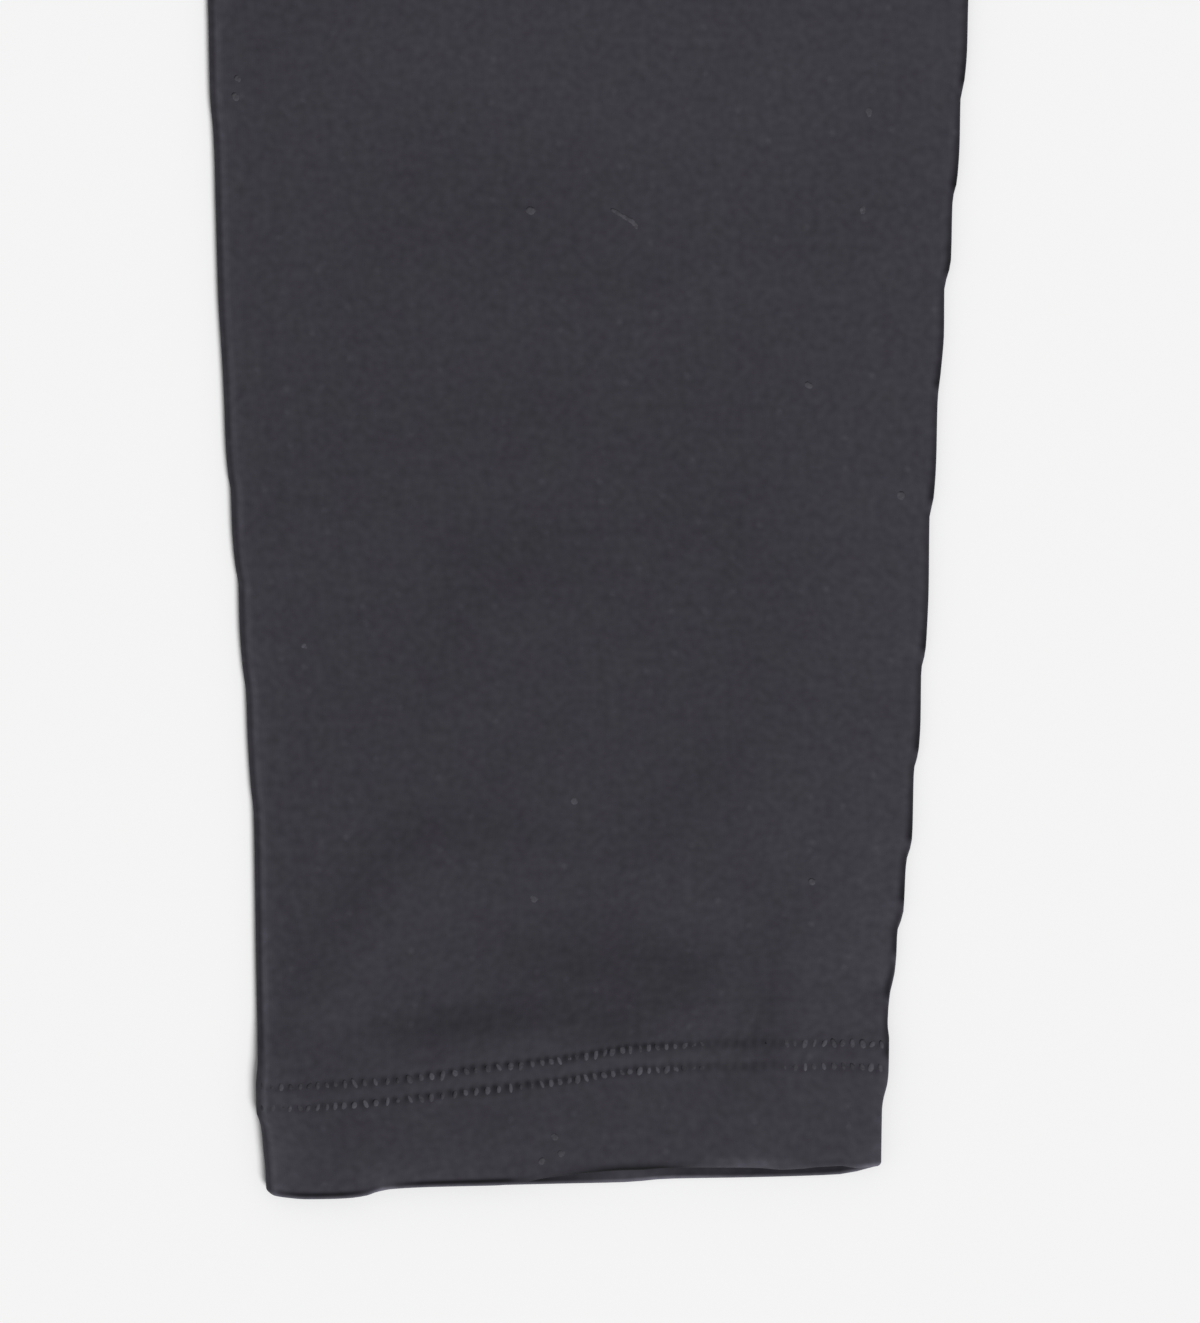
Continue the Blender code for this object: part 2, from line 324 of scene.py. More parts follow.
foldEdgeAt = curveThrough([
    (0, 196.2), (5.7, 196.4), (9.9, 196.8), (14.1, 197.2), (16.2, 197.6), (18.3, 198.3), (23.6, 198.4),
    (28.9, 198.05), (52, 198.4), (73.1, 198.7), (81.5, 198.9), (85.8, 199.4), (96.3, 200.1),
    (106.8, 200.5), (111, 201.1), (119.5, 201.8), (130, 202.1), (132.1, 202.6), (140.5, 203.4),
    (149, 203.7), (151.1, 204.1), (157.4, 204.7), (167.9, 205.1), (174.2, 205.4), (180.6, 205.8),
    (189, 206.3), (210.1, 206.9), (218.5, 207.1), (224.8, 207.4), (231.1, 208.0), (252.2, 208.5),
    (330, 211.6), (420, 215.8), (520, 220.6), (620, 226.2), (690, 229.4), (720, 229.9), (760, 228.4),
    (810, 222.6), (860, 212.0), (910, 195.6), (950, 176.4),
])
seamEdgeAt = curveThrough([
    (0, 66.4), (18.3, 66.2), (20.4, 66.0), (24.7, 65.0), (26.8, 64.8), (33.1, 64.7), (36.2, 65.0),
    (39.4, 64.9), (43.6, 64.5), (47.8, 63.55), (52, 63.15), (56.3, 63.0), (60.5, 61.7), (71, 61.1),
    (75.2, 59.95), (77.3, 59.8), (90, 59.5), (94.2, 58.5), (100.5, 58.1), (111, 57.95), (115.3, 57.05),
    (121.6, 56.65), (127.9, 56.4), (143.7, 56.2), (146.9, 55.4), (155.3, 54.8), (167.9, 54.5),
    (174.2, 53.8), (182.7, 53.15), (191.1, 53.1), (197.4, 51.7), (210.1, 51.35), (214.3, 50.4),
    (222.7, 49.85), (231.1, 49.7), (235.4, 48.85), (241.7, 48.3), (252.2, 48.05), (330, 42.4),
    (420, 35.2), (520, 26.0), (620, 15.4), (690, 5.2), (720, 0.0), (950, 0.0),
])
stackAt = curveThrough([
    (0, 4.1), (21, 4.1), (31, 3.7), (40, 2.5), (62, 2.4), (520, 2.4), (620, 2.5), (760, 2.6), (810, 2.7),
    (860, 3.1), (910, 4.1), (950, 4.9),
])
# the height at which the front lies right on the back
lowestAt = curveThrough([(0, 3.5), (25.5, 3.5), (34, 1.75), (950, 1.75)])

garment = {
    "length": 990 * mm,
    "bandHeight": 40 * mm,
    "inseam": 720 * mm,
    "crotchBlend": 12 * mm,  # the inseam has become a centre seam this far above the crotch
    "frontDip": 12 * mm,
    "hemDepth": 25 * mm,
    "hemFade": 150 * mm,  # the slant of the hem has straightened out at this height
    "cloth": 0.8 * mm,
    "hemWall": 1.9 * mm,
    "seamRound": 0.9 * mm,  # how the panel's edge turns down into a centre seam
    "seamPinch": 0.35 * mm,  # how deep the stitches of a seam pull it in
}

# From the fold (0) to the inseam (1): how far the back's lower edge is lifted, how much shorter the front
# is, and how far the rows of stitches are lifted.
backHemAt = curveThrough([
    (0, 1.3), (0.014, 0.5), (0.032, 0.1), (0.064, -0.25), (0.10, -0.2), (0.135, 0.0), (0.165, 0.6),
    (0.182, 1.4), (0.2, 1.85), (0.26, 2.3), (0.357, 2.6), (0.487, 3.0), (0.585, 3.3), (0.65, 4.0),
    (0.78, 4.3), (0.91, 4.8), (0.942, 5.1), (0.975, 6.2), (1, 6.8),
])
frontShortAt = curveThrough([
    (0, 0), (0.37, 0), (0.41, 0.35), (0.45, 1.3), (0.49, 1.85), (0.54, 2.4), (0.58, 2.6), (0.62, 2.35),
    (0.71, 2.3), (0.76, 2.2), (0.8, 2.0), (0.84, 1.5), (0.87, 1.6), (0.9, 1.85), (0.93, 1.85),
    (0.965, 0.5), (1, 0),
])
rowLiftAt = curveThrough([
    (0, -1.9), (0.08, -1.6), (0.146, -1.0), (0.211, -0.35), (0.276, 0.7), (0.341, 1.95), (0.406, 3.0),
    (0.471, 3.9), (0.536, 5.3), (0.601, 6.6), (0.666, 7.05), (0.74, 7.55), (0.86, 7.7), (0.93, 7.6),
    (1, 7.2),
])


# Soft ridges and, with a rise below zero, troughs. First come the places of both ends, then how far
# the fold spreads on its right and left, how far it bends aside, and its rise.
rightFolds = [
    # broad swells: above the calf, over the shin and down the inner side
    (231, 267, 20, 262, 40, 44, 0, 3.2), (186, 198, 112, 188, 21, 40, 2, 1.3),
    (98, 218, 80, 20, 15, 20, -8, 1.5),
    # long troughs over the shin
    (180, 236, 116, 218, 9, 15, 0, -0.7), (112, 210, 66, 194, 8, 12, 0, -0.4),
    # the fold that leaves the outer edge above the hem, and the hollows beside it
    (190, 32, 160, 82, 8, 9, 0, 1.5), (180, 72, 124, 68, 7, 11, -3, 0.9),
    (122, 58, 90, 98, 8, 13, 0, 1.1), (186, 30, 126, 37, 8, 8, 0, 1.4),
    (158, 41, 97, 40, 14, 10, 0, 1.9),
    # upright creases that run down into the hem
    (86, 76, 88, 22, 7, 14, 0, 0.6), (85, 66, 86, 20, 5, 8, 0, 0.9), (94, 28, 98, -8, 6, 8, 0, 0.6),
    # small ones in the middle
    (160, 92, 143, 137, 9, 13, 0, 0.9), (163, 129, 122, 137, 8, 13, 0, 0.9),
    (170, 155, 118, 166, 7, 12, 0, 0.5), (128, 184, 104, 191, 6, 10, 0, 0.5),
    (151, 88, 126, 98, 5, 9, 0, 0.4), (116, 140, 86, 138, 15, 14, 0, 0.8),
    (202, 141, 166, 147, 15, 14, 0, 0.6), (100, 112, 80, 118, 9, 12, 0, 0.4),
    # knee, thigh and crotch
    (200, 366, 112, 410, 12, 15, 4, 1.8), (163, 451, 50, 406, 14, 16, -4, 1.7),
    (40, 606, 166, 530, 13, 17, 5, 1.9), (12, 706, 146, 644, 12, 16, 3, 2.7),
    (12, 721, 170, 746, 13, 15, -3, 2.3), (12, 740, 106, 824, 11, 13, 4, 1.9),
    (206, 844, 104, 794, 12, 16, 3, 1.7), (196, 488, 150, 520, 9, 13, 0, 1.0),
    (60, 500, 96, 560, 9, 12, 2, 1.0), (216, 640, 176, 600, 10, 14, 0, 1.1),
    (60, 893, 66, 975, 7, 9, 0, 1.4), (118, 884, 111, 975, 7, 9, 0, 1.3),
]
leftFolds = [
    (228, 275, 24, 258, 40, 38, 0, 2.6), (226, 96, 90, 84, 56, 28, 0, 1.9),
    (104, 214, 88, 18, 16, 22, -12, 2.5), (190, 226, 112, 236, 9, 15, 0, -1.3),
    (118, 206, 56, 180, 8, 12, 0, -0.9), (194, 34, 144, 60, 8, 9, 0, 1.6),
    (160, 56, 86, 78, 8, 9, 3, 1.4), (96, 126, 66, 78, 9, 11, 0, 1.3), (160, 50, 104, 46, 8, 5, 0, -1.5),
    (150, 40, 92, 42, 5, 5, 0, -1.2), (118, 10, 112, 50, 6, 11, 0, 1.0),
    (160, 100, 130, 132, 7, 12, 0, 1.0), (140, 150, 96, 158, 7, 12, 0, 1.0),
    (176, 176, 128, 188, 8, 12, 0, 1.0), (196, 398, 94, 368, 12, 15, -4, 1.8),
    (150, 428, 60, 452, 13, 14, 3, 1.6), (34, 578, 152, 549, 14, 16, 4, 1.8),
    (12, 702, 128, 624, 12, 16, 4, 2.6), (14, 730, 160, 727, 13, 15, -2, 2.3),
    (14, 748, 122, 814, 11, 13, 3, 1.9), (210, 810, 120, 826, 12, 14, 3, 1.6),
    (204, 470, 160, 500, 9, 13, 0, 1.0), (70, 484, 100, 530, 9, 12, 2, 1.0),
    (212, 610, 170, 582, 10, 14, 0, 1.1), (47, 888, 52, 975, 7, 9, 0, 1.3),
    (103, 876, 96, 975, 7, 9, 0, 1.4), (147, 894, 138, 975, 7, 9, 0, 1.2),
]
# Patches of painted shade, and below zero of painted light: the place, how far each spreads both ways, how
# much.
rightShadePatches = [
    (158, 122, 40, 78, 0.06), (196, 10, 8, 13, -0.20), (76, 62, 18, 40, -0.06), (80, 185, 17, 60, -0.04),
    (112, 145, 40, 60, 0.02), (65, 222, 12, 25, 0.03), (148, 205, 14, 12, 0.045), (88, 106, 10, 8, 0.04),
    (116, 226, 22, 5, -0.045), (97, 195, 12, 12, -0.03), (158, 74, 16, 5, 0.035), (174, 63, 9, 6, 0.035),
    (99, 58, 8, 8, -0.03), (199, 93, 4, 8, -0.05), (88, 238, 42, 18, -0.04), (135, 246, 42, 15, -0.03),
    (205, 238, 6, 26, -0.06), (80, 207, 15, 8, 0.055), (100, 191, 15, 7, -0.05), (129, 193, 8, 4, 0.06),
    (132, 160, 17, 8, 0.06), (139, 130, 10, 9, 0.055), (127, 132, 7, 8, 0.05), (95, 135, 9, 10, 0.08),
    (197, 108, 6, 18, -0.045), (66, 102, 11, 10, 0.045), (86, 77, 8, 14, -0.055),
    (177, 77, 10, 5, -0.04), (104, 59, 11, 5, -0.09),
    # the painted shade of the hollow over the hem, in two lobes, and of the upright one beside it
    (120, 49.5, 20, 5.5, 0.12), (107, 49, 8, 4, 0.07), (133, 46, 8, 3.5, 0.05), (146, 35, 26, 5, 0.08),
    (125, 37, 13, 5, 0.13), (118, 34, 8, 4, 0.09), (123, 33.5, 5, 3, 0.05), (90, 36, 5.5, 9, 0.17),
    (79, 36, 6, 10, 0.06),
    # smaller ones round it
    (180, 37, 9, 4.5, -0.13), (151, 44.5, 9, 5, -0.1), (142, 45, 6, 4, -0.04), (121, 40, 12, 3, -0.07),
    (175, 33, 7, 3, -0.08), (167, 39.5, 5, 3.5, -0.07), (184, 43, 5, 6, 0.11), (161, 29, 4, 3, 0.06),
    (98, 47, 5, 5, -0.08), (115, 28, 12, 3, -0.08), (116, 23, 5, 2.5, 0.05), (196, 22, 7, 5, -0.08),
    (199, 42, 4, 14, -0.08), (66, 51, 5, 8, -0.04),
    # and in the hem
    (178, 13, 13, 6, 0.06), (147, 17, 7, 4, 0.09), (127, 17, 5, 4, 0.06), (160, 5, 9, 3, -0.07),
    (171.5, 4, 3.5, 3, -0.17), (68.5, 8, 4, 3, -0.18),
]
leftShadePatches = [
    (152, 128, 44, 70, 0.05), (194, 12, 9, 12, -0.10),
]
# where the inseam puckers, as heights above the hem
rightPuckers = [36, 45.5, 58.8, 72.5, 92, 113.6, 145.6, 170, 193.8, 213.4, 234.7]


puckerSpacing = (16, 34)


def puckersUpTo(start, end, seed):
    draw = random.Random(seed)
    heights = [start]
    while heights[-1] < end:
        heights.append(heights[-1] + draw.uniform(*puckerSpacing))
    return heights[1:-1]


legs = {
    "right": {
        "name": "right_leg_cloth", "node": "right_leg", "side": -1, "folds": rightFolds, "tones": rightShadePatches,
        "puckers": rightPuckers + puckersUpTo(234.7, 700, 4), "noiseSeed": 3.0,
        "frontSpans": 72, "backSpans": 36, "foldSpans": 10, "seamSpans": 5, "rowStep": 2.0, "upperStep": 6.5,
    },
    "left": {
        "name": "left_leg_cloth", "node": "left_leg", "side": 1, "folds": leftFolds, "tones": leftShadePatches,
        "puckers": puckersUpTo(20, 700, 11), "noiseSeed": 47.0,
        "frontSpans": 54, "backSpans": 28, "foldSpans": 8, "seamSpans": 4, "rowStep": 3.5, "upperStep": 8.5,
    },
}


def hemLift(across, height, frontness):
    # how far the slant of the hem moves a point up the leg
    backEdge = backHemAt(across)
    edge = (backEdge + frontShortAt(across) * frontness) * mm
    hemDepth, fade = garment["hemDepth"], garment["hemFade"]
    backRow = backEdge * mm * (1 - hemDepth / fade) ** 2
    row = mix(backRow, rowLiftAt(across) * mm, frontness)
    if height < hemDepth:
        return mix(edge, row, max(height, 0.0) / hemDepth)
    return row * max(0.0, 1 - (height - hemDepth) / (fade - hemDepth)) ** 2


def frontDip(out, halfWidth, height):
    waist = garment["length"] - garment["bandHeight"]
    rise = ramp(height, garment["inseam"], waist - garment["inseam"])
    return garment["frontDip"] * rise * max(0.0, 1 - (out / halfWidth) ** 2)


def ringAt(height):
    # outline and thickness of the leg at one height
    outer = foldEdgeAt((height + hemLift(0.0, height, 0.5)) / mm) * mm
    inner = seamEdgeAt((height + hemLift(1.0, height, 0.5)) / mm) * mm
    stack = stackAt(height / mm) * mm
    aboveCrotch = ramp(height, garment["inseam"], garment["crotchBlend"])
    return {
        "outer": outer,
        "inner": inner,
        "width": outer - inner,
        "stack": stack,
        "height": height,
        "lowest": lowestAt(height / mm) * mm,
        "seamRound": mix(stack / 2, garment["seamRound"], aboveCrotch),
        "aboveCrotch": aboveCrotch,
    }


def acrossAt(ring, out):
    # from the fold (0) to the inseam (1)
    return (ring["outer"] - out) / ring["width"]


foldEnd = 0.35  # the share of its length over which a fold swells, and dies out again


def foldRise(folds, out, height):
    # each fold swells from nothing at one end and dies out at the other
    rise = 0.0
    for outA, heightA, outB, heightB, spreadRight, spreadLeft, bend, top in folds:
        dx, dy = outB - outA, heightB - heightA
        length = math.hypot(dx, dy)
        along = ((out - outA) * dx + (height - heightA) * dy) / length ** 2
        if not 0 < along < 1:
            continue
        aside = (dx * (height - heightA) - dy * (out - outA)) / length - bend * 4 * along * (1 - along)
        spread = mix(spreadRight, spreadLeft, ease(0.5 + aside / (spreadRight + spreadLeft)))
        if abs(aside) < 3 * spread:
            rise += top * ease(along / foldEnd) * ease((1 - along) / foldEnd) * bump(aside, 0, spread)
    return rise * mm


forms = {
    # towards both edges the cloth above the hem stands off it instead of dropping at once
    "puff": 1.6 * mm,
    "puffInner": (0.62, 0.14),  # where across the leg it starts, and how soon it is whole
    "puffOuter": (0.06, 0.08),  # the same beside the fold, where it dies out and there is less of it
    "puffOuterShare": 0.7,
    "puffTop": (29, 62), "puffBottom": (27, 13),  # from which height, and over how many mm, it sinks
    "edgeFade": 12 * mm,  # folds and puff die out this near to an edge
    # size of the uneven swells and how high they are, in mm, and where their noise is read
    "swells": [(24, 0.3, 0), (11, 0.2, 9), (5.5, 0.09, 21)],
    "swellStretch": 1.3,  # how much longer than wide they are
    "swellFade": 5 * mm,
    # each pucker of the inseam: how deep, and in mm how tall and wide, and how far in it is worked out
    "pucker": 0.55 * mm,
    "puckerTall": 2.4,
    "puckerWide": 4.5,
    "puckerReach": 14,
}


def hemPuff(across, height):
    share = ramp(across, *forms["puffInner"])
    share += forms["puffOuterShare"] * (1 - ramp(across, *forms["puffOuter"]))
    slow = 1 - ramp(height, *forms["puffTop"])
    fast = 1 - ramp(height, *forms["puffBottom"])
    return forms["puff"] * share * max(0.0, slow - fast)


def layOnFront(leg, ring, out, laidHeight):
    # what the front ply's folds, puckers and unevenness add to its height
    outMm, heightMm = out / mm, laidHeight / mm
    fromOuter = ease((ring["outer"] - out) / forms["edgeFade"])
    fromInner = ease((out - ring["inner"]) / forms["edgeFade"])
    fromInner = mix(fromInner, 1.0, ring["aboveCrotch"])
    across = acrossAt(ring, out)
    rise = foldRise(leg["folds"], outMm, heightMm) + hemPuff(across, ring["height"] / mm)
    rise = rise * fromOuter * fromInner
    wave = 0.0
    for size, height, layer in forms["swells"]:
        place = (outMm / size, heightMm / size / forms["swellStretch"], leg["noiseSeed"] + layer)
        wave += height * noise.noise(Vector(place))
    rise += wave * mm * ease((ring["outer"] - out) / forms["swellFade"])
    fromSeam = (out - ring["inner"]) / mm
    if fromSeam < forms["puckerReach"] and ring["height"] < garment["inseam"]:
        k = bisect.bisect(leg["puckers"], heightMm)
        for pucker in leg["puckers"][max(k - 1, 0):k + 1]:
            tall, wide = (heightMm - pucker) / forms["puckerTall"], fromSeam / forms["puckerWide"]
            rise -= forms["pucker"] * math.exp(-(tall ** 2) - wide ** 2)
    return rise


def sectionPoint(leg, ring, part, share, depth):
    # a place round one section: (out, z, frontness, distance from the fold along the cloth)
    outer, inner, stack = ring["outer"], ring["inner"], ring["stack"]
    foldRound, seamRound = stack / 2, ring["seamRound"]
    foldOut, seamOut = outer - foldRound, inner + seamRound
    flat = foldOut - seamOut
    quarter = math.pi / 2
    if part == "fold":
        angle = quarter - math.pi * share
        radius = foldRound - depth
        return (foldOut + radius * math.cos(angle), foldRound + radius * math.sin(angle),
                0.5 + 0.5 * math.sin(angle), -foldRound * angle)
    if part == "front":
        return (seamOut + flat * share, stack - depth, 1.0, -foldRound * quarter - flat * (1 - share))
    if part == "back":
        return (foldOut - flat * share, depth, 0.0, foldRound * quarter + flat * share)
    # the two rounded edges at the seam
    angle = quarter * (share if part == "seamFront" else 1 - share)
    radius = seamRound - depth
    pinch = garment["seamPinch"] * bump(angle, 0, 0.5) * (1 - ring["aboveCrotch"])
    out = seamOut - radius * math.cos(angle) + pinch
    length = foldRound * quarter + flat + seamRound * (quarter - angle)
    if part == "seamFront":
        frontness = mix(0.5 + 0.5 * math.sin(angle), 1.0, ring["aboveCrotch"])
        return (out, stack - seamRound + radius * math.sin(angle), frontness, -length)
    frontness = mix(0.5 - 0.5 * math.sin(angle), 0.0, ring["aboveCrotch"])
    return (out, seamRound - radius * math.sin(angle), frontness, length)


def restOnBack(z, lowest):
    # the front ply sinks onto the back ply softly and never into it
    soft = 0.4 * mm
    above = z - lowest
    return lowest + (above + math.sqrt(above * above + soft * soft)) / 2


def laidPlace(leg, ring, out, z, frontness):
    across = acrossAt(ring, out)
    laidHeight = ring["height"] + hemLift(min(max(across, 0.0), 1.0), ring["height"], frontness)
    if frontness > 0.5:
        top = restOnBack(ring["stack"] + layOnFront(leg, ring, out, laidHeight), ring["lowest"])
        z += (top - ring["stack"]) * ease((frontness - 0.5) * 2)
    y = hemY + laidHeight - frontDip(out, ring["outer"], ring["height"]) * frontness
    return (leg["side"] * out, y, z)


# The twin row of cover stitches.

sewing = {
    "rows": (25.0 * mm, 20.3 * mm),  # heights of the two rows up the cut panel
    "pitch": [
        (0, 1.9), (0.12, 1.9), (0.17, 2.35), (0.41, 2.35), (0.46, 1.85), (0.7, 1.9), (0.8, 2.0), (1, 2.0),
    ],
    "ends": (1.6 * mm, 1.8 * mm),  # how near the first stitch is to the fold and the last to the inseam
    "uneven": 0.16,  # mm
    # the groove that a row pulls in the cloth, how much of it there is anyway and how much comes with the
    # pull, and the painted shade on its upper side, where the thread shows and what is added where it is
    # hidden
    "reach": 4 * mm,
    "trough": 0.16 * mm,
    "troughWidth": 0.9 * mm,
    "troughShare": (0.6, 0.8),
    "troughDark": (0.2, 0.25),
    "troughDarkAbove": 0.7 * mm,
    "troughDarkWidth": 0.8 * mm,
    # the needle's holes, above the thread and to one side of it, a little taller than wide, and the painted
    # shade in them
    "hole": 0.35 * mm,
    "holeSize": 0.72 * mm,
    "holeAbove": 0.5 * mm,
    "holeAside": 0.95 * mm,
    "holeStretch": (0.95, 1.2),
    "holeShare": (0.25, 1.3),
    "holeDark": 0.78, "holeHidden": 0.75,  # and by how much less where the thread is hidden
    "stitch": (1.15 * mm, 2.6 * mm, 0.46 * mm),  # along the row, up the leg, thickness
    "stitchSizes": (0.72, 1.2),
    "shows": (0.7, 1.1),  # how unevenly the stitches stand out
    "tones": (-0.25, 0.3),
    # painted shade on a stitch that is sunk in its groove
    "hiddenStitchShade": 0.55,
    "sunk": (0.27, 0.03),  # mm into the front where the thread is hidden and where it stands out
    "sunkBack": 0.14 * mm,
    "slant": 24,  # degrees, to either side
    "backDepth": 0.8,  # the back ply is pulled in less
    # how far the thread stands out and how dark the row is pulled in, across the leg
    "standsOut": [
        (0, 0.5), (0.05, 0.75), (0.15, 1), (0.62, 0.95), (0.7, 0.35), (0.74, 0), (0.8, 0), (0.84, 0.7),
        (0.9, 1.0), (1, 1.0),
    ],
    "pulledIn": [
        (0, 0.1), (0.06, 0.3), (0.2, 0.5), (0.4, 0.7), (0.62, 0.6), (0.7, 0.5), (0.79, 0.5), (0.84, 0.25),
        (1, 0.2),
    ],
}
standsOutAt = curveThrough(sewing["standsOut"])
pulledInAt = curveThrough(sewing["pulledIn"])
pitchAt = curveThrough(sewing["pitch"])


def stitchPlaces(leg, row, ply):
    # distance of each stitch from the fold edge, along one row of one ply
    draw = random.Random(f"{leg['name']} {row} {ply}")
    width = ringAt(row)["width"]
    places = []
    at, last = sewing["ends"]
    while at < width - last:
        places.append(at + draw.uniform(-sewing["uneven"], sewing["uneven"]) * mm)
        at += pitchAt(at / width) * mm
    return places


def sewnIn(leg, at, across, height, ply):
    # (how deep the sewing pulls the cloth down, how much painted shade it gets there)
    deep, dark = 0.0, 0.0
    pulled = pulledInAt(across)
    hidden = 1 - min(1.0, standsOutAt(across))
    least, more = sewing["troughShare"]
    leastDark, moreDark = sewing["troughDark"]
    leastHole, moreHole = sewing["holeShare"]
    wide, tall = sewing["holeStretch"]
    size = sewing["holeSize"]
    for row in sewing["rows"]:
        above = height - row
        if abs(above) > sewing["reach"]:
            continue
        deep += sewing["trough"] * (least + more * pulled) * bump(above, 0, sewing["troughWidth"])
        shade = bump(above, sewing["troughDarkAbove"], sewing["troughDarkWidth"])
        dark += (leastDark + moreDark * hidden) * pulled * shade
        places = leg["stitches"][(row, ply)]
        k = bisect.bisect(places, at)
        hole = 0.0
        for place in places[max(k - 1, 0):k + 1]:
            along = (at - place + sewing["holeAside"]) / size / wide
            hole += math.exp(-(along ** 2) - ((above - sewing["holeAbove"]) / size / tall) ** 2)
        deep += sewing["hole"] * hole * min(1.0, leastHole + moreHole * pulled)
        dark += sewing["holeDark"] * pulled * (1 - sewing["holeHidden"] * hidden) * hole
    return deep, min(dark, 1.0)


for leg in legs.values():
    leg["stitches"] = {
        (row, ply): stitchPlaces(leg, row, ply) for row in sewing["rows"] for ply in ("front", "back")
    }


# Painted shade where the cloth is darker and, below zero, painted light where it is paler than the rest.

rimShade = {
    # across the leg: how dark the painted shade along the front's lower edge is, and the painted highlight
    # on the lip above it
    "frontLine": [
        (0, 0), (0.02, 0.3), (0.05, 0.85), (0.13, 0.85), (0.17, 0.3), (0.19, 0), (0.22, 0.5), (0.26, 0.9),
        (0.33, 0.95), (0.38, 0.9), (0.42, 0.5), (0.45, 0.3), (0.47, 0.4), (0.52, 0.65), (0.58, 0.88),
        (0.63, 0.85), (0.67, 0.5), (0.7, 0.3), (0.76, 0.12), (0.85, 0.15), (0.89, 0.32), (0.93, 0.28),
        (0.96, 0), (1, 0),
    ],
    "lip": [
        (0, 0.06), (0.45, 0.05), (0.52, 0), (0.68, 0.05), (0.72, 0.2), (0.76, 0.48), (0.8, 0.45),
        (0.84, 0.25), (0.88, 0.05), (0.92, 0), (1, 0),
    ],
    # the painted shade along the back's lower edge, and how it darkens towards the front's
    "backLine": [
        (0, 0.8), (0.41, 0.8), (0.45, 0.7), (0.5, 0.45), (0.54, 0.1), (0.58, 0), (0.7, 0), (0.76, 0.15),
        (0.8, 0.4), (0.84, 0.3), (0.88, 0.4), (0.93, 0.6), (0.955, 0.3), (0.97, 0), (1, 0),
    ],
    "backDepth": [
        (0, 0), (0.46, 0), (0.49, 0.2), (0.54, 0.55), (0.6, 0.8), (0.66, 0.75), (0.7, 0.6), (0.76, 0.5),
        (0.8, 0.35), (0.95, 0.2), (0.97, 0), (1, 0),
    ],
    # the painted highlight of the fuzz outside both, and how far it reaches in mm
    "fuzz": [
        (0, 0.5), (0.05, 0.9), (0.165, 0.9), (0.19, 1.6), (0.215, 0.9), (0.41, 0.9), (0.5, 0.7),
        (0.56, 1.0), (0.6, 1.6), (0.66, 1.5), (0.71, 1.3), (0.76, 1.1), (0.8, 0.8), (0.84, 0.5),
        (0.93, 0.7), (0.97, 1.2), (1, 1.1),
    ],
    "fuzzReach": [
        (0, 0.65), (0.165, 0.65), (0.19, 1.2), (0.215, 0.65), (0.5, 0.65), (0.56, 1.2), (0.6, 1.35),
        (0.64, 1.25), (0.69, 1.0), (0.74, 0.7), (0.93, 0.65), (0.97, 1.1), (1, 1.1),
    ],
}
rimAt = {name: curveThrough(points) for name, points in rimShade.items()}

paintedEdgeShading = {
    # painted light: how much paler the cloth is beside its edges, and how far that reaches in mm
    "fold": (0.075, 6), "seam": (0.085, 19), "hem": (0.07, 19),
    # the painted shade along the fold and the painted highlight beside it: how much, how far in, how wide
    "line": (0.34, 0.9, 0.45),
    "rim": (0.28, 1.9, 0.7),
    "lower": (46, 24),  # both are stronger about this height in mm, over this reach, by these shares
    "lowerLine": 0.5,
    "lowerRim": 0.7,
    "broken": (26, 5),  # where the hem's rows of stitches round the fold
    "brokenShare": 0.8,
    # painted highlight on the outermost edge of the inseam
    "fuzz": (0.7, 0.5),  # the paler outermost edge of the inseam
    "darkest": 0.9,
}
seamLine = {
    # the inseam's painted shade is widest just above each pucker and dies out below it, with a painted
    # highlight beside it
    "reach": 5,
    "strength": (0.35, 0.65, 9),  # everywhere, what a pucker adds, and over how many mm that fades
    "below": 2.2,
    "first": 22,  # this height counts as a pucker below the first one
    "last": 30.0,  # how far the next pucker seems above the last one
    "start": (21, 3),  # it starts above the hem, here, and over so many mm
    "width": (0.4, 0.62),
    "dark": (0.95, 0.6),  # how dark, and how far in
    "pale": (0.1, 2.1, 0.6),  # the light line beside it: how much, how far in, how wide
}
rimLine = {
    # painted shade and highlight along the hem: where across the leg the front's lower edge is rolled under,
    # and over what share of it that begins
    "rolledFrom": (0.38, 0.05), "rolledTo": (0.95, 0.03),
    # its painted shade line and the painted highlight on the lip above it, in mm up the leg, where it lies
    # straight and where it is rolled
    "place": (1.02, 0.0), "width": (0.55, 1.1), "lip": (2.1, 1.1), "lipWidth": 0.95,
    "turn": (0.4, 0.9), "turnEnds": (0.66, 0.06),  # the darkness right on a rolled edge
    "inside": 0.6 * mm,  # past this the cloth is inside the hem
    # painted shade on the back, between two shares of what the front falls short, and no more past the end
    # in mm
    "right": (0.6, 0.1), "start": 0.25, "full": (0.75, 0.6), "end": (3.5, 1.5),
    "back": (0.9, 0.5),  # height and width of the line on the back's own edge
}


def paintedPatchShade(tones, outMm, heightMm):
    return sum(dark * bump(outMm, out, wide) * bump(heightMm, height, tall)
               for out, height, wide, tall, dark in tones)


